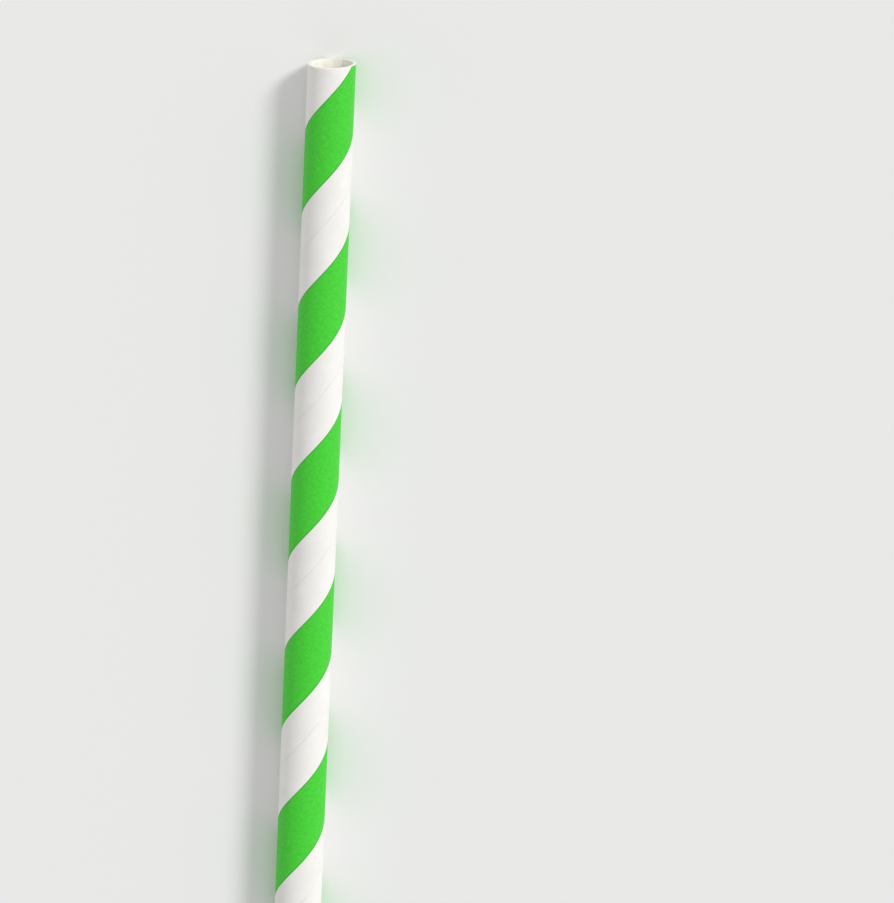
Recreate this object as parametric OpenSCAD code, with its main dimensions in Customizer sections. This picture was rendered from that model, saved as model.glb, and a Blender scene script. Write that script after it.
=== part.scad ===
// Paper drinking straw: a tube wound from layers of paper, with a spiral stripe printed on its outer strip.
// It lies along X on Z = 0, with its drinking end towards +X. All lengths are in millimetres.

/* [Tube] */
// Length from cut end to cut end
straw_l = 197; // [100:1:260]
// Outside diameter
outer_d = 6; // [5:0.5:12]

/* [Paper] */
// Layers of paper in the wall
plies = 4; // [3:1:5]
// Thickness of one layer
ply_t = 0.1; // [0.06:0.01:0.2]
// Width of the outer strip before it is wound
strip_w = 14.5; // [8:0.1:15]

/* [Print] */
// Width of the printed stripe, measured across the strip
stripe_w = 6.9; // [2:0.1:7]
// Turn of the stripe's middle at the drinking end, from straight down
stripe_turn = 321; // [0:1:359]

/* [Colours] */
// Bare paper
paper_colour = "#f4f2ee";
// Printed ink
ink_colour = "#3fb932";

/* [Hidden] */

$fn = 96;
outer_r = outer_d / 2;
bore_r = outer_r - plies * ply_t;
strip_r = outer_r - ply_t;

// Length of tube that one turn of the strip covers when its edges meet
girth = PI * outer_d;
pitch = strip_w * girth / sqrt(girth * girth - strip_w * strip_w);

// How finely the print follows its spiral
steps_per_turn = 12;
step_angle = 360 / steps_per_turn;

// How far cutting shapes run past what they cut
overrun = 1;

// Lays what is drawn along Z, with its foot at the origin, down along X on the tube's axis
module lay_down(length) {
    translate([-length / 2, 0, outer_r])
        rotate([0, 90, 0])
            children();
}

// Round tube on the straw's axis
module ring(outside, inside, length) {
    lay_down(length)
        difference() {
            cylinder(r = outside, h = length);
            translate([0, 0, -overrun])
                cylinder(r = inside, h = length + 2 * overrun);
        }
}

// Points along an arc about the origin, from one angle to another
function arc(radius, from, to, count) =
    [for (i = [0:count]) let (a = from + (to - from) * i / count) [radius * cos(a), radius * sin(a)]];

// The stripe's course as it winds round the tube, from under the outer strip to past its face
module wound_band() {
    length = straw_l + 2 * overrun;
    span = 360 * stripe_w / strip_w;
    arc_steps = ceil(span / 60);
    outside = (outer_r + ply_t) / cos((span / arc_steps + step_angle) / 2);
    inside = strip_r - ply_t;
    start = stripe_turn - 360 * (length - overrun) / pitch;
    lay_down(length)
        rotate(start)
            linear_extrude(height = length, twist = -360 * length / pitch,
                           slices = ceil(steps_per_turn * length / pitch),
                           segments = 2 * arc_steps + 2, $fn = 0)
                polygon(concat(arc(outside, -span / 2, span / 2, arc_steps),
                               arc(inside, span / 2, -span / 2, arc_steps)));
}

// The part of the outer strip that the ink colours, grown past the strip's face and ends to cut with
module printed_layer(grow) {
    intersection() {
        ring(outer_r + grow, strip_r, straw_l + 2 * grow);
        wound_band();
    }
}

// The wound wall in two colours: bare paper, and the print flush beside it
module straw() {
    color(paper_colour)
        difference() {
            ring(outer_r, bore_r, straw_l);
            printed_layer(overrun);
        }
    color(ink_colour)
        printed_layer(0);
}

straw();
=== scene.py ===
"""Looks of a paper drinking straw: a spiral-wound paper tube with a broad printed stripe.

The straw lies along X on the floor, with its drinking end towards +X. Sizes are written in
millimetres and angles in degrees. A turn is an angle round the straw's axis, from straight down
towards +Y.
"""

import logging
import math
from dataclasses import dataclass, field
from enum import Enum, IntEnum

import bmesh
import bpy
from mathutils import Matrix, Vector, noise


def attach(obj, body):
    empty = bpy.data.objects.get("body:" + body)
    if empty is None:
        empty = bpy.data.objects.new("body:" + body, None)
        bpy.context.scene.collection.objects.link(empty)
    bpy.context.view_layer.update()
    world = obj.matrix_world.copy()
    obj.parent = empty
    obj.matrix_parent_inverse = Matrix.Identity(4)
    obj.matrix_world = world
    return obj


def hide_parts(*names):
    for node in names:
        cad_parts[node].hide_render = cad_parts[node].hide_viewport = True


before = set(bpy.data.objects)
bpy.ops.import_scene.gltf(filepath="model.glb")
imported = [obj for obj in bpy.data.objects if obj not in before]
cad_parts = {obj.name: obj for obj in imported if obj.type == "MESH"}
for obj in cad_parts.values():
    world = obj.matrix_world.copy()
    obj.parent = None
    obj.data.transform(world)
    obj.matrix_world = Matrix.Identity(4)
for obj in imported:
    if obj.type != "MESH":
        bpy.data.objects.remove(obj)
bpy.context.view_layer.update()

MM = 0.001
# Millimetres along and across the unrolled paper, and the layout that the patterns are baked on
PAPER_MAP = "flat_paper"
BAKE_MAP = "OFBake"
# Refraction of paper's fibres and of the ink on them
PAPER_IOR = 1.5
log = logging.getLogger("straw")


class Layer(IntEnum):
    """The kinds of surface on the straw, in the order of its material slots."""

    PRINTED = 0
    INNER = 1
    CUT = 2


class End(Enum):
    """The straw's two cut ends, with the way each faces along X."""

    FOOT = -1
    DRINKING = 1


# Layout of the baked patterns, in shares of its square: bottom and height of each layer's shelf
SHELVES = {Layer.PRINTED: (0.01, 0.52), Layer.INNER: (0.55, 0.37), Layer.CUT: (0.94, 0.05)}
# Where the strips' drinking ends lie on their shelves, and how many strips long a shelf is
STRIPS_END = 0.96
STRIP_SPARE = 1.1
# Where each rim starts on its shelf, and how far it runs
RIM_STARTS = {End.FOOT: 0.52, End.DRINKING: 0.02}
RIM_RUN = 0.45


def linear(code: str) -> tuple[float, float, float, float]:
    """Turns an sRGB hex code into the linear colour that shaders take.

    Args:
        code: Six hex digits after a hash sign.

    Returns:
        Linear red, green, blue and an alpha of 1.
    """
    parts = [int(code[i : i + 2], 16) / 255 for i in (1, 3, 5)]
    red, green, blue = (
        p / 12.92 if p <= 0.04045 else ((p + 0.055) / 1.055) ** 2.4 for p in parts
    )
    return red, green, blue, 1.0


def add_node(
    tree: bpy.types.NodeTree, kind: str, inputs: dict | None = None, **settings: object
) -> bpy.types.Node:
    """Adds a shader node, with its settings and its sockets filled or linked.

    Args:
        tree: Node tree that the node goes into.
        kind: Node type, without its ShaderNode prefix.
        inputs: Socket name or index, and the value or the output socket that it takes.
        **settings: Properties of the node itself.

    Returns:
        The new node.
    """
    node = tree.nodes.new("ShaderNode" + kind)
    for name, value in settings.items():
        setattr(node, name, value)
    for key, value in (inputs or {}).items():
        if isinstance(value, bpy.types.NodeSocket):
            tree.links.new(value, node.inputs[key])
        else:
            node.inputs[key].default_value = value
    return node


def new_material(
    name: str,
) -> tuple[bpy.types.Material, bpy.types.NodeTree, bpy.types.Node]:
    """Makes a material that holds one shader and its output.

    Args:
        name: Name of the real material.

    Returns:
        The material, its node tree and its shader.
    """
    material = bpy.data.materials.new(name)
    material.use_nodes = True
    tree = material.node_tree
    tree.nodes.clear()
    shader = add_node(tree, "BsdfPrincipled")
    add_node(tree, "OutputMaterial", {"Surface": shader.outputs["BSDF"]})
    return material, tree, shader


def fibre_pattern(
    tree: bpy.types.NodeTree,
    flat: bpy.types.NodeSocket,
    length: float,
    width: float,
    detail: float,
) -> bpy.types.NodeSocket:
    """Draws pulp fibres, most of which lie along the strip that the paper was slit into.

    Args:
        tree: Node tree of the paper.
        flat: Place on the flat strip.
        length: Length of a fibre along the strip.
        width: Width of a fibre.
        detail: How many finer fibres lie over the coarse ones.

    Returns:
        A socket that varies about a half.
    """
    drawn_out = add_node(
        tree, "VectorMath", {0: flat, 1: (1 / length, 1 / width, 1)}, operation="MULTIPLY"
    ).outputs[0]
    return add_node(
        tree,
        "TexNoise",
        {"Vector": drawn_out, "Scale": 1.0, "Detail": detail, "Roughness": 0.6},
    ).outputs["Fac"]


@dataclass(frozen=True)
class PrintedPaper:
    """Smooth white uncoated paper, with a stripe of water-based ink rolled on by a soft plate."""

    # Where the stripe starts and stops across the strip
    stripe_from: float
    stripe_to: float
    # The paper gives the eye a soft, matt white, a little greyer in its thin places.
    paper: str = "#f5f4f1"
    paper_thin: str = "#eeece7"
    # The ink gives a clean green with a slight satin. More of it lies in blotches and on the edges.
    ink: str = "#4ad838"
    ink_full: str = "#259a1a"
    # Fibres are some 0.03 wide. They are drawn wider, because they would be finer than a pixel.
    fibre_l: float = 1.8
    fibre_w: float = 0.16
    # Height of the fibres, and how much of it the light brings out
    fibre_h: float = 0.006
    relief: float = 0.3
    # Clouds that thicker and thinner places make in a sheet, and the levels that are thin and thick
    cloud: float = 3.2
    pulp_range: tuple[float, float] = (0.12, 0.42)
    # How far the stripe's edge wanders on the paper's grain, over what length, and how soft it is
    edge_wander: float = 0.05
    edge_grain: float = 0.3
    edge_soft: float = 0.025
    # Line of extra ink that the plate squeezes out along the stripe's edge, and its strength
    squeeze: float = 0.2
    squeeze_most: float = 0.75
    # Blotches where the paper drank more ink, the levels they grow between, and their strength
    blotch: float = 0.5
    blotch_range: tuple[float, float] = (0.3, 0.75)
    blotch_most: float = 0.4
    # Flecks of fibre that took less ink, drawn larger than the real ones so that they show, the
    # levels they grow between, and the ink that they took
    fleck_l: float = 0.3
    fleck_w: float = 0.11
    fleck_range: tuple[float, float] = (0.65, 0.78)
    fleck_ink: float = 0.82
    # Ink fills the paper's pores, so the stripe is smoother than the bare paper
    bare_rough: float = 0.62
    ink_rough: float = 0.46
    # How much rougher thick fibres are, and how strongly the face reflects
    fibre_rough: float = 0.08
    shine: float = 0.24

    @property
    def half_stripe(self) -> float:
        """Half the stripe's width."""
        return (self.stripe_to - self.stripe_from) / 2

    def material(self) -> bpy.types.Material:
        """Makes the printed paper, on the flat strip's own millimetres.

        Returns:
            The material of the straw's outside.
        """
        material, tree, shader = new_material("plate_printed_paper")
        flat = add_node(tree, "UVMap", uv_map=PAPER_MAP).outputs["UV"]
        fibres = fibre_pattern(tree, flat, self.fibre_l, self.fibre_w, detail=3.0)
        off_middle = self._off_middle(tree, flat)
        inked = self._ink_cover(tree, flat, off_middle)
        colour = add_node(
            tree,
            "Mix",
            {
                0: inked,
                6: self._paper_colour(tree, flat, fibres),
                7: self._ink_colour(tree, flat, off_middle),
            },
            data_type="RGBA",
        ).outputs[2]

        smooth = add_node(
            tree,
            "MapRange",
            {"Value": inked, "To Min": self.bare_rough, "To Max": self.ink_rough},
        ).outputs[0]
        rough = add_node(
            tree, "Math", {0: fibres, 1: self.fibre_rough, 2: smooth}, operation="MULTIPLY_ADD"
        ).outputs[0]
        bump = add_node(
            tree,
            "Bump",
            {"Strength": self.relief, "Distance": self.fibre_h * MM, "Height": fibres},
        ).outputs[0]
        tree.links.new(colour, shader.inputs["Base Color"])
        tree.links.new(rough, shader.inputs["Roughness"])
        tree.links.new(bump, shader.inputs["Normal"])
        shader.inputs["IOR"].default_value = PAPER_IOR
        shader.inputs["Specular IOR Level"].default_value = self.shine
        return material

    def _paper_colour(
        self,
        tree: bpy.types.NodeTree,
        flat: bpy.types.NodeSocket,
        fibres: bpy.types.NodeSocket,
    ) -> bpy.types.NodeSocket:
        """Clouds the bare paper where its fibres lie thin.

        Args:
            tree: Node tree of the paper.
            flat: Place on the flat strip.
            fibres: The paper's fibres.

        Returns:
            The bare paper's colour.
        """
        clouds = add_node(
            tree, "TexNoise", {"Vector": flat, "Scale": 1 / self.cloud, "Detail": 2.0}
        ).outputs["Fac"]
        pulp = add_node(tree, "Math", {0: fibres, 1: clouds}, operation="MULTIPLY").outputs[0]
        low, high = self.pulp_range
        thin = add_node(
            tree,
            "MapRange",
            {"Value": pulp, "From Min": low, "From Max": high, "To Min": 1.0, "To Max": 0.0},
        ).outputs[0]
        return add_node(
            tree,
            "Mix",
            {0: thin, 6: linear(self.paper), 7: linear(self.paper_thin)},
            data_type="RGBA",
        ).outputs[2]

    def _off_middle(
        self, tree: bpy.types.NodeTree, flat: bpy.types.NodeSocket
    ) -> bpy.types.NodeSocket:
        """Measures across the strip from the stripe's middle, with the print's slight wandering.

        Args:
            tree: Node tree of the paper.
            flat: Place on the flat strip.

        Returns:
            Distance from the stripe's middle.
        """
        grain = add_node(
            tree, "TexNoise", {"Vector": flat, "Scale": 1 / self.edge_grain, "Detail": 2.0}
        ).outputs["Fac"]
        across = add_node(tree, "SeparateXYZ", {0: flat}).outputs["Y"]
        wandered = add_node(
            tree, "Math", {0: grain, 1: self.edge_wander, 2: across}, operation="MULTIPLY_ADD"
        ).outputs[0]
        middle = (self.stripe_from + self.stripe_to + self.edge_wander) / 2
        past = add_node(tree, "Math", {0: wandered, 1: middle}, operation="SUBTRACT").outputs[0]
        return add_node(tree, "Math", {0: past}, operation="ABSOLUTE").outputs[0]

    def _ink_colour(
        self,
        tree: bpy.types.NodeTree,
        flat: bpy.types.NodeSocket,
        off_middle: bpy.types.NodeSocket,
    ) -> bpy.types.NodeSocket:
        """Deepens the ink in its blotches and along the stripe's edges.

        Args:
            tree: Node tree of the paper.
            flat: Place on the flat strip.
            off_middle: Distance from the stripe's middle.

        Returns:
            The ink's colour.
        """
        squeezed = add_node(
            tree,
            "MapRange",
            {
                "Value": off_middle,
                "From Min": self.half_stripe - self.squeeze,
                "From Max": self.half_stripe - self.squeeze / 2,
                "To Max": self.squeeze_most,
            },
            interpolation_type="SMOOTHSTEP",
        ).outputs[0]
        blotches = add_node(
            tree,
            "TexNoise",
            {"Vector": flat, "Scale": 1 / self.blotch, "Detail": 4.0, "Roughness": 0.65},
        ).outputs["Fac"]
        low, high = self.blotch_range
        drunk = add_node(
            tree,
            "MapRange",
            {"Value": blotches, "From Min": low, "From Max": high, "To Max": self.blotch_most},
        ).outputs[0]
        full = add_node(tree, "Math", {0: squeezed, 1: drunk}, operation="MAXIMUM").outputs[0]
        return add_node(
            tree,
            "Mix",
            {0: full, 6: linear(self.ink), 7: linear(self.ink_full)},
            data_type="RGBA",
        ).outputs[2]

    def _ink_cover(
        self,
        tree: bpy.types.NodeTree,
        flat: bpy.types.NodeSocket,
        off_middle: bpy.types.NodeSocket,
    ) -> bpy.types.NodeSocket:
        """Lays the stripe down, thinner on the flecks that took less ink.

        Args:
            tree: Node tree of the paper.
            flat: Place on the flat strip.
            off_middle: Distance from the stripe's middle.

        Returns:
            How much of the paper the ink covers, from 0 to 1.
        """
        stripe = add_node(
            tree,
            "MapRange",
            {
                "Value": off_middle,
                "From Min": self.half_stripe - self.edge_soft,
                "From Max": self.half_stripe + self.edge_soft,
                "To Min": 1.0,
                "To Max": 0.0,
            },
            interpolation_type="SMOOTHSTEP",
        ).outputs[0]
        flecks = fibre_pattern(tree, flat, self.fleck_l, self.fleck_w, detail=1.0)
        low, high = self.fleck_range
        taken = add_node(
            tree,
            "MapRange",
            {
                "Value": flecks,
                "From Min": low,
                "From Max": high,
                "To Min": 1.0,
                "To Max": self.fleck_ink,
            },
        ).outputs[0]
        return add_node(tree, "Math", {0: stripe, 1: taken}, operation="MULTIPLY").outputs[0]


@dataclass(frozen=True)
class InnerPaper:
    """Unprinted white paper, left as it came off the paper machine."""

    # It gives the eye a warm, matt white with long faint fibres that follow the winding.
    # These whites are the paper's own white painted brighter than the outer paper's: painted light
    # standing in for the light that the thin wall lets through into the bore.
    paper: str = "#fcfaf2"
    paper_thin: str = "#f4f1e6"
    # Drawn wider than real fibres, as on the outside, with the levels that are thick and thin
    fibre_l: float = 1.8
    fibre_w: float = 0.2
    fibre_range: tuple[float, float] = (0.35, 0.7)
    # Height of the fibres, and how much of it the light brings out
    fibre_h: float = 0.008
    relief: float = 0.6
    # How matt the face is, and how strongly it reflects
    rough: float = 0.72
    shine: float = 0.3

    def material(self) -> bpy.types.Material:
        """Makes the inner paper, on its own strip's millimetres.

        Returns:
            The material of the straw's bore.
        """
        material, tree, shader = new_material("machine_finished_paper")
        flat = add_node(tree, "UVMap", uv_map=PAPER_MAP).outputs["UV"]
        fibres = fibre_pattern(tree, flat, self.fibre_l, self.fibre_w, detail=3.0)
        low, high = self.fibre_range
        thin = add_node(
            tree, "MapRange", {"Value": fibres, "From Min": low, "From Max": high}
        ).outputs[0]
        colour = add_node(
            tree,
            "Mix",
            {0: thin, 6: linear(self.paper), 7: linear(self.paper_thin)},
            data_type="RGBA",
        ).outputs[2]
        bump = add_node(
            tree,
            "Bump",
            {"Strength": self.relief, "Distance": self.fibre_h * MM, "Height": fibres},
        ).outputs[0]
        tree.links.new(colour, shader.inputs["Base Color"])
        tree.links.new(bump, shader.inputs["Normal"])
        shader.inputs["Roughness"].default_value = self.rough
        shader.inputs["IOR"].default_value = PAPER_IOR
        shader.inputs["Specular IOR Level"].default_value = self.shine
        return material


@dataclass(frozen=True)
class CutPaper:
    """The raw edge of glued paper, cut across by a blade."""

    # It gives the eye a bright, chalky white, grainy with fibre ends and with no gloss.
    fibre_ends: str = "#f9f8f3"
    glue: str = "#ece8dd"
    # Bundles of cut fibres, drawn larger than the real ones so that they show, with the levels
    # that are fibre and glue
    grain: float = 0.12
    grain_range: tuple[float, float] = (0.35, 0.7)
    # Height of the bundles, and how much of it the light brings out
    grain_h: float = 0.012
    relief: float = 0.7
    # How matt the cut is, and how strongly it reflects
    rough: float = 0.85
    shine: float = 0.25

    def material(self) -> bpy.types.Material:
        """Makes the cut edge, grained alike in every direction.

        Returns:
            The material of the straw's two rims.
        """
        material, tree, shader = new_material("blade_cut_paper")
        place = add_node(tree, "TexCoord").outputs["Object"]
        grain = add_node(
            tree,
            "TexNoise",
            {"Vector": place, "Scale": 1 / (self.grain * MM), "Detail": 3.0, "Roughness": 0.65},
        ).outputs["Fac"]
        low, high = self.grain_range
        glued = add_node(
            tree, "MapRange", {"Value": grain, "From Min": low, "From Max": high}
        ).outputs[0]
        colour = add_node(
            tree,
            "Mix",
            {0: glued, 6: linear(self.fibre_ends), 7: linear(self.glue)},
            data_type="RGBA",
        ).outputs[2]
        bump = add_node(
            tree,
            "Bump",
            {"Strength": self.relief, "Distance": self.grain_h * MM, "Height": grain},
        ).outputs[0]
        tree.links.new(colour, shader.inputs["Base Color"])
        tree.links.new(bump, shader.inputs["Normal"])
        shader.inputs["Roughness"].default_value = self.rough
        shader.inputs["IOR"].default_value = PAPER_IOR
        shader.inputs["Specular IOR Level"].default_value = self.shine
        return material


@dataclass(frozen=True)
class Seam:
    """How a strip's two edges lie where its turns butt.

    Each pair is a distance from the edge and a height over the strip's face.
    """

    foot_edge: tuple[tuple[float, float], ...]
    other_edge: tuple[tuple[float, float], ...]

    @property
    def lip(self) -> float:
        """How far the lifted edge stands over the face."""
        return max(rise for _, rise in self.other_edge)


@dataclass
class WoundStrip:
    """A strip of paper wound in a right-hand spiral, whose turns butt at a fine seam.

    Across runs from the strip's foot-side edge to its other edge, and along runs up the spiral.
    """

    layer: Layer
    face_r: float
    # Which way the strip's face looks: 1 away from the axis, -1 towards it
    facing: int
    pitch: float
    # Turn of the seam at the drinking end
    seam_turn: float
    seam: Seam
    tube_l: float
    axis_z: float
    # How far damp glue made the face waver, and over what length
    cockle: float
    cockle_l: float = 5.0
    steps_per_turn: int = 72
    body_cuts: int = 18
    # Points of two turns that are closer than this are one
    weld: float = 0.002

    @property
    def girth(self) -> float:
        """Length of one turn round the strip's face."""
        return 2 * math.pi * self.face_r

    @property
    def slant(self) -> float:
        """Length of one turn along the strip."""
        return math.hypot(self.pitch, self.girth)

    @property
    def width(self) -> float:
        """Width of the strip before it was wound."""
        return self.pitch * self.girth / self.slant

    def wind(self) -> bmesh.types.BMesh:
        """Winds the strip past both ends of the tube, and closes the turns at their seam.

        Returns:
            The wound strip, one face thick.
        """
        strip = self._wind_one_turn()
        turns = math.ceil(self.tube_l / self.pitch) + 2
        first = bpy.data.meshes.new("turn")
        strip.to_mesh(first)
        for number in range(1, turns):
            wound = len(strip.verts)
            strip.from_mesh(first)
            down = Vector((-MM * self.pitch * number, 0, 0))
            bmesh.ops.translate(strip, verts=strip.verts[wound:], vec=down)
        bpy.data.meshes.remove(first)
        bmesh.ops.remove_doubles(strip, verts=strip.verts[:], dist=self.weld * MM)
        for vert in strip.verts:
            spoke = Vector((0, vert.co.y, vert.co.z - MM * self.axis_z)).normalized()
            waver = noise.noise(vert.co / (MM * self.cockle_l))
            vert.co += spoke * (MM * self.cockle * waver)
        for face in strip.faces:
            face.material_index = self.layer
        return strip

    def _wind_one_turn(self) -> bmesh.types.BMesh:
        """Winds the turn that leaves the drinking end, from a section across the strip.

        Returns:
            One turn of the strip, with open edges.
        """
        steep = self.pitch / self.width
        section = [
            *self.seam.foot_edge,
            *((self.width - gap, rise) for gap, rise in self.seam.other_edge),
        ]
        turn = bmesh.new()
        points = [
            turn.verts.new(
                (
                    MM * (self.tube_l / 2 + across * steep),
                    0,
                    MM * (self.axis_z - self.face_r - self.facing * rise),
                )
            )
            for across, rise in section
        ]
        edges = [turn.edges.new(pair) for pair in zip(points, points[1:])]
        body = edges[len(self.seam.foot_edge) - 1]
        bmesh.ops.subdivide_edges(turn, edges=[body], cuts=self.body_cuts)
        centre = Vector((0, 0, MM * self.axis_z))
        bmesh.ops.rotate(
            turn,
            verts=turn.verts[:],
            cent=centre,
            matrix=Matrix.Rotation(math.radians(self.seam_turn), 3, "X"),
        )
        bmesh.ops.spin(
            turn,
            geom=turn.verts[:] + turn.edges[:],
            cent=centre,
            axis=(1, 0, 0),
            dvec=(MM * self.pitch / self.steps_per_turn, 0, 0),
            angle=2 * math.pi,
            steps=self.steps_per_turn,
            use_merge=False,
        )
        return turn

    def turn_of(self, point: Vector) -> float:
        """Finds the turn of a point round the straw's axis."""
        return math.degrees(math.atan2(point.y, MM * self.axis_z - point.z))

    def flat_place(self, point: Vector, near: Vector) -> tuple[float, float]:
        """Finds where a point of the wound face lies on the flat strip.

        Args:
            point: Place on the face, in metres.
            near: Middle of the point's face, which says which turn of the strip it belongs to.

        Returns:
            Millimetres along and across the strip.
        """
        turn = self.turn_of(near)
        up = near.x / MM - self.tube_l / 2
        below = up - self.pitch * (turn - self.seam_turn) / 360
        turn += 360 * math.floor(below / self.pitch)
        turn += math.remainder(self.turn_of(point) - turn, 360)
        round_girth = self.girth * (turn - self.seam_turn) / 360
        up = point.x / MM - self.tube_l / 2
        along = (round_girth * self.girth + up * self.pitch) / self.slant
        across = (up * self.girth - round_girth * self.pitch) / self.slant
        return along, across


@dataclass
class PaperStraw:
    """The straw: an outer printed strip, an inner strip and the cut ends between them."""

    length: float = 197.0
    outer_d: float = 6.0
    wall_t: float = 0.4
    plies: int = 4
    strip_w: float = 14.5
    stripe_w: float = 6.9
    stripe_turn: float = 321.0
    # The print lies a little off the strip's middle, towards its foot-side edge
    print_offset: float = -0.2
    # The inner seam lies away from the outer one, so that the wall has no weak line
    inner_seam_lag: float = 150.0
    # Each strip's edges all but touch, and the edge laid last stands a little proud
    outer_seam: Seam = Seam(
        foot_edge=(
            (0.0, -0.05),
            (0.006, -0.05),
            (0.01, -0.02),
            (0.024, -0.012),
            (0.1, -0.008),
            (0.26, -0.003),
            (0.5, 0.0),
        ),
        other_edge=(
            (0.62, 0.0),
            (0.42, 0.004),
            (0.2, 0.011),
            (0.05, 0.016),
            (0.024, 0.012),
            (0.01, -0.02),
            (0.006, -0.05),
            (0.0, -0.05),
        ),
    )
    inner_seam: Seam = Seam(
        foot_edge=((0.0, -0.05), (0.012, -0.05), (0.02, -0.012), (0.1, -0.006), (0.4, 0.0)),
        other_edge=((0.4, 0.0), (0.12, 0.006), (0.03, 0.004), (0.012, -0.05), (0.0, -0.05)),
    )
    cockle: float = 0.006
    # How far out of square the blade cut the drinking end, whose longer side is towards -Y
    cut_skew: float = 2.9
    # How far the blade rounds the edges of the cut, and the groove it leaves between two plies
    edge_round: float = 0.045
    ply_groove: float = 0.012
    # How deep the middle of a rounded edge lies, as a share of its radius
    edge_depth: float = 0.3
    rim_steps: int = 96
    # Points this close to a cut lie on it
    cut_reach: float = 0.00001
    # Edges that bend further than this stay crisp
    crisp_from: float = 40.0
    outer: WoundStrip = field(init=False)
    inner: WoundStrip = field(init=False)

    def __post_init__(self) -> None:
        """Works out both windings from the straw's sizes."""
        outer_r = self.outer_d / 2
        girth = math.pi * self.outer_d
        pitch = self.strip_w * girth / math.sqrt(girth**2 - self.strip_w**2)
        seam_turn = (self.stripe_turn + 360 * self.stripe_middle / self.strip_w) % 360
        self.outer = WoundStrip(
            layer=Layer.PRINTED,
            face_r=outer_r,
            facing=1,
            pitch=pitch,
            seam_turn=seam_turn,
            seam=self.outer_seam,
            tube_l=self.length,
            axis_z=outer_r,
            cockle=self.cockle,
        )
        self.inner = WoundStrip(
            layer=Layer.INNER,
            face_r=outer_r - self.wall_t,
            facing=-1,
            pitch=pitch,
            seam_turn=(seam_turn + self.inner_seam_lag) % 360,
            seam=self.inner_seam,
            tube_l=self.length,
            axis_z=outer_r,
            cockle=self.cockle,
            steps_per_turn=60,
            body_cuts=10,
        )

    @property
    def stripe_middle(self) -> float:
        """Where the stripe's middle lies across the strip."""
        return self.strip_w / 2 + self.print_offset

    @property
    def lowest(self) -> float:
        """Lowest point that the seam's lip and the paper's waver can reach."""
        return -self.outer_seam.lip - self.cockle

    def build(self) -> bpy.types.Object:
        """Winds both strips, cuts them to length and closes the wall at its ends.

        Returns:
            The straw, with its place in its mesh.
        """
        tube = bmesh.new()
        for strip in (self.outer, self.inner):
            wound = strip.wind()
            self._cut_to_length(wound)
            wall = bpy.data.meshes.new("wall")
            wound.to_mesh(wall)
            wound.free()
            tube.from_mesh(wall)
            bpy.data.meshes.remove(wall)
        for end in End:
            self._close_end(tube, end)
        bmesh.ops.recalc_face_normals(tube, faces=tube.faces[:])
        self._set_order(tube)
        self._lay_maps(tube)
        for face in tube.faces:
            face.smooth = True

        mesh = bpy.data.meshes.new("paper_straw")
        tube.to_mesh(mesh)
        tube.free()
        mesh.set_sharp_from_angle(angle=math.radians(self.crisp_from))
        straw = bpy.data.objects.new("paper_straw", mesh)
        bpy.context.scene.collection.objects.link(straw)
        return straw

    def _cut_slope(self, end: End) -> float:
        """How far the cut of an end runs back along X for each step along Y."""
        return math.tan(math.radians(self.cut_skew)) if end is End.DRINKING else 0.0

    def _cut_to_length(self, wound: bmesh.types.BMesh) -> None:
        """Cuts a wound strip at both ends, where the rounding of the cut begins.

        Args:
            wound: The strip, wound past both ends.
        """
        for end in End:
            bmesh.ops.bisect_plane(
                wound,
                geom=wound.verts[:] + wound.edges[:] + wound.faces[:],
                dist=MM * self.cut_reach,
                plane_co=(end.value * MM * (self.length / 2 - self.edge_round), 0, 0),
                plane_no=(end.value, end.value * self._cut_slope(end), 0),
                clear_outer=True,
            )

    def _rim_section(self) -> list[tuple[float, float]]:
        """Draws the cut through the wall, from its outer edge to its inner one.

        Returns:
            Pairs of radius and distance back from the end.
        """
        outer_r, inner_r = self.outer.face_r, self.inner.face_r
        corner = self.edge_round * self.edge_depth
        section = [(outer_r - corner, corner), (outer_r - self.edge_round, 0.0)]
        for ply in range(1, self.plies):
            middle = outer_r - ply * self.wall_t / self.plies
            section += [
                (middle + self.ply_groove, 0.0),
                (middle, self.ply_groove),
                (middle - self.ply_groove, 0.0),
            ]
        return section + [(inner_r + self.edge_round, 0.0), (inner_r + corner, corner)]

    def _close_end(self, tube: bmesh.types.BMesh, end: End) -> None:
        """Spins the cut face of one end, and bridges it to the outer and inner walls.

        Args:
            tube: The two walls, open at this end.
            end: Which end to close.
        """
        axis_z = self.outer.axis_z
        walls = set(self._open_edges(tube, end))
        before = set(tube.faces)
        points = [
            tube.verts.new((end.value * MM * (self.length / 2 - back), 0, MM * (axis_z - r)))
            for r, back in self._rim_section()
        ]
        edges = [tube.edges.new(pair) for pair in zip(points, points[1:])]
        bmesh.ops.spin(
            tube,
            geom=points + edges,
            cent=(0, 0, MM * axis_z),
            axis=(1, 0, 0),
            angle=2 * math.pi,
            steps=self.rim_steps,
            use_merge=True,
        )
        skew = Matrix.Identity(4)
        skew[0][1] = -self._cut_slope(end)
        spun = {vert for face in set(tube.faces) - before for vert in face.verts}
        bmesh.ops.transform(tube, matrix=skew, verts=list(spun))
        rims = [edge for edge in self._open_edges(tube, end) if edge not in walls]
        middle_r = MM * (self.outer.face_r + self.inner.face_r) / 2
        sides: dict[bool, list[bmesh.types.BMEdge]] = {True: [], False: []}
        for edge in [*walls, *rims]:
            spot = edge.verts[0].co
            sides[math.hypot(spot.y, spot.z - MM * axis_z) > middle_r].append(edge)
        for loops in sides.values():
            bmesh.ops.bridge_loops(tube, edges=loops)
        for face in set(tube.faces) - before:
            face.material_index = Layer.CUT

    @staticmethod
    def _open_edges(tube: bmesh.types.BMesh, end: End) -> list[bmesh.types.BMEdge]:
        """Finds the edges at one end that have a face on one side only."""
        return [e for e in tube.edges if e.is_boundary and e.verts[0].co.x * end.value > 0]

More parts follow.
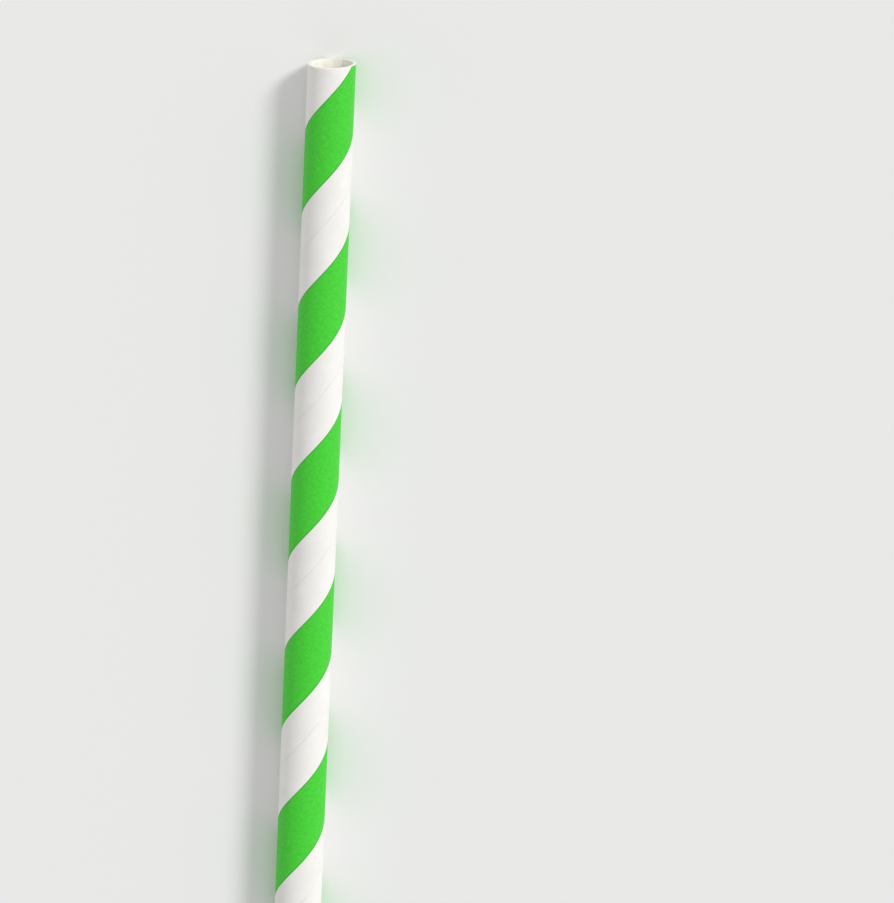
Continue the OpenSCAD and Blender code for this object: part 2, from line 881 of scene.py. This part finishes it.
    @staticmethod
    def _set_order(tube: bmesh.types.BMesh) -> None:
        """Orders points and faces by their places, because merging leaves that to chance.

        Args:
            tube: The closed straw.
        """
        for number, vert in enumerate(sorted(tube.verts, key=lambda v: tuple(v.co))):
            vert.index = number
        tube.verts.sort()
        tube.verts.index_update()
        for items in (tube.edges, tube.faces):
            ranked = sorted(items, key=lambda item: sorted(v.index for v in item.verts))
            for number, item in enumerate(ranked):
                item.index = number
            items.sort()

    def _lay_maps(self, tube: bmesh.types.BMesh) -> None:
        """Gives the walls their flat-paper map, and every face its place in the baked layout.

        Args:
            tube: The closed straw.
        """
        flat = tube.loops.layers.uv.new(PAPER_MAP)
        bake = tube.loops.layers.uv.new(BAKE_MAP)
        strips = {Layer.PRINTED: self.outer, Layer.INNER: self.inner}
        longest = STRIP_SPARE * self.length * self.outer.slant / self.outer.pitch
        for face in tube.faces:
            near = face.calc_center_median()
            layer = Layer(face.material_index)
            if layer is Layer.CUT:
                self._lay_rim_face(face, near, bake)
                continue
            strip = strips[layer]
            low, tall = SHELVES[layer]
            for loop in face.loops:
                along, across = strip.flat_place(loop.vert.co, near)
                loop[flat].uv = (along, across)
                right = STRIPS_END + along / longest
                loop[bake].uv = (right, low + tall * across / strip.width)

    def _lay_rim_face(
        self, face: bmesh.types.BMFace, near: Vector, bake: bmesh.types.BMLayerItem
    ) -> None:
        """Unrolls one face of a cut end on the top shelf of the baked layout.

        Args:
            face: Face of a cut end.
            near: Middle of that face.
            bake: The baked layout.
        """
        start = RIM_STARTS[End.DRINKING if near.x > 0 else End.FOOT]
        low, tall = SHELVES[Layer.CUT]
        middle = self.outer.turn_of(near)
        for loop in face.loops:
            spot = loop.vert.co
            turn = middle + math.remainder(self.outer.turn_of(spot) - middle, 360)
            r = math.hypot(spot.y, spot.z - MM * self.outer.axis_z) / MM
            depth = (r - self.inner.face_r) / self.wall_t
            loop[bake].uv = (start + RIM_RUN * (turn + 180) / 360, low + tall * depth)

    def dress(self, straw: bpy.types.Object) -> None:
        """Gives the straw its papers, and ties it to the frame.

        Args:
            straw: The built straw.
        """
        half = self.stripe_w / 2
        printed = PrintedPaper(self.stripe_middle - half, self.stripe_middle + half)
        for finish in (printed, InnerPaper(), CutPaper()):
            straw.data.materials.append(finish.material())
        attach(straw, "root")
        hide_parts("straw")


@dataclass
class Studio:
    """Pale floor, soft light and a camera that looks down on the straw."""

    length: float
    outer_d: float
    floor_z: float
    floor: str = "#f3f3f2"
    floor_rough: float = 0.9
    floor_shine: float = 0.1
    floor_side: float = 6000.0
    sky: float = 0.59
    key_strength: float = 1.78
    # Angle that the key light fills, as a wide diffuser far off does
    key_angle: float = 16.0
    # Degrees that the key light stands to the right of the camera, and up from it
    key_right: float = 42.0
    key_up: float = 20.0
    # The picture in pixels, and where the drinking end's middle falls in it
    picture: tuple[int, int] = (894, 903)
    end_at: tuple[float, float] = (331.906, 63.2)
    # The straw's lean in the picture, how far its drinking end tips towards the camera, how far
    # that end is from the camera, and the lens in pixels
    lean: float = 2.675
    tip: float = 16.6203
    distance: float = 772.31
    focal_px: float = 6223.9
    sensor: float = 36.0
    # What is nearer to the camera or further off isn't seen
    nearest: float = 10.0
    furthest: float = 20000.0

    def _camera_axes(self) -> Matrix:
        """Turns camera axes into the straw's axes.

        Returns:
            A matrix whose columns are the camera's right, up and backward directions.
        """
        tip, lean = math.radians(self.tip), math.radians(self.lean)
        along = Vector(
            (math.cos(tip) * math.sin(lean), math.cos(tip) * math.cos(lean), math.sin(tip))
        )
        back = Vector((0, 0, 1))
        up = (back - along * back.dot(along)).normalized()
        return Matrix((along, up.cross(along), up))

    def add_camera(self) -> bpy.types.Object:
        """Places the camera so that the drinking end falls where the picture has it.

        Returns:
            The scene's camera.
        """
        wide, tall = self.picture
        right = (self.end_at[0] - wide / 2) / self.focal_px
        down = (self.end_at[1] - tall / 2) / self.focal_px
        end = Vector((right, -down, -1)) * (MM * self.distance)
        axes = self._camera_axes()
        place = Vector((MM * self.length / 2, 0, MM * self.outer_d / 2)) - axes @ end

        data = bpy.data.cameras.new("camera")
        data.sensor_width = self.sensor
        data.lens = self.focal_px * self.sensor / max(wide, tall)
        data.clip_start = MM * self.nearest
        data.clip_end = MM * self.furthest
        camera = bpy.data.objects.new("camera", data)
        camera.matrix_world = Matrix.Translation(place) @ axes.to_4x4()
        bpy.context.scene.collection.objects.link(camera)
        bpy.context.scene.camera = camera
        return camera

    def add_floor(self) -> bpy.types.Object:
        """Lays a plain pale floor under the straw.

        Returns:
            The floor.
        """
        sheet = bmesh.new()
        bmesh.ops.create_grid(sheet, x_segments=1, y_segments=1, size=MM * self.floor_side / 2)
        bmesh.ops.translate(sheet, verts=sheet.verts[:], vec=(0, 0, MM * self.floor_z))
        mesh = bpy.data.meshes.new("floor")
        sheet.to_mesh(mesh)
        sheet.free()
        floor = bpy.data.objects.new("floor", mesh)
        bpy.context.scene.collection.objects.link(floor)
        # Matt painted board, which gives the eye an even pale ground
        material, _, shader = new_material("matt_painted_board")
        shader.inputs["Base Color"].default_value = linear(self.floor)
        shader.inputs["Roughness"].default_value = self.floor_rough
        shader.inputs["Specular IOR Level"].default_value = self.floor_shine
        mesh.materials.append(material)
        return floor

    def add_light(self) -> bpy.types.Object:
        """Sets one soft light to the camera's right, and fills the rest from a pale sky.

        Returns:
            The key light.
        """
        self._add_sky()
        right, up = math.radians(self.key_right), math.radians(self.key_up)
        towards = self._camera_axes() @ Vector(
            (math.sin(right) * math.cos(up), math.sin(up), math.cos(right) * math.cos(up))
        )
        data = bpy.data.lights.new("key", "SUN")
        data.angle = math.radians(self.key_angle)
        data.energy = self.key_strength
        key = bpy.data.objects.new("key", data)
        facing = towards.to_track_quat("Z", "Y").to_matrix().to_4x4()
        key.matrix_world = Matrix.Translation(towards) @ facing
        bpy.context.scene.collection.objects.link(key)
        return key

    def _add_sky(self) -> None:
        """Lights the scene evenly from all round, and shows white where the floor ends."""
        world = bpy.data.worlds.new("sky")
        world.use_nodes = True
        tree = world.node_tree
        tree.nodes.clear()
        ray = add_node(tree, "LightPath").outputs
        mirrored = add_node(
            tree,
            "Math",
            {0: ray["Is Glossy Ray"], 1: ray["Is Transmission Ray"]},
            operation="MAXIMUM",
        ).outputs[0]
        shown = add_node(
            tree, "Math", {0: ray["Is Camera Ray"], 1: mirrored}, operation="MAXIMUM"
        ).outputs[0]
        level = add_node(
            tree, "MapRange", {"Value": shown, "To Min": self.sky, "To Max": 1.0}
        ).outputs[0]
        light = add_node(tree, "Background", {"Color": (1, 1, 1, 1), "Strength": level})
        add_node(tree, "OutputWorld", {"Surface": light.outputs["Background"]})
        bpy.context.scene.world = world


def main() -> None:
    """Builds the straw and the studio."""
    logging.basicConfig(level=logging.INFO, format="%(name)s: %(message)s")
    bpy.context.scene.view_settings.view_transform = "Standard"

    straw = PaperStraw()
    piece = straw.build()
    straw.dress(piece)
    log.info("%s: %d faces", piece.name, len(piece.data.polygons))

    studio = Studio(straw.length, straw.outer_d, floor_z=straw.lowest)
    floor = studio.add_floor()
    log.info("%s: %.3f mm under the origin", floor.name, -studio.floor_z)
    key = studio.add_light()
    log.info("%s: strength %.2f", key.name, key.data.energy)
    camera = studio.add_camera()
    log.info("%s: %.1f mm lens", camera.name, camera.data.lens)


if __name__ == "__main__":
    main()
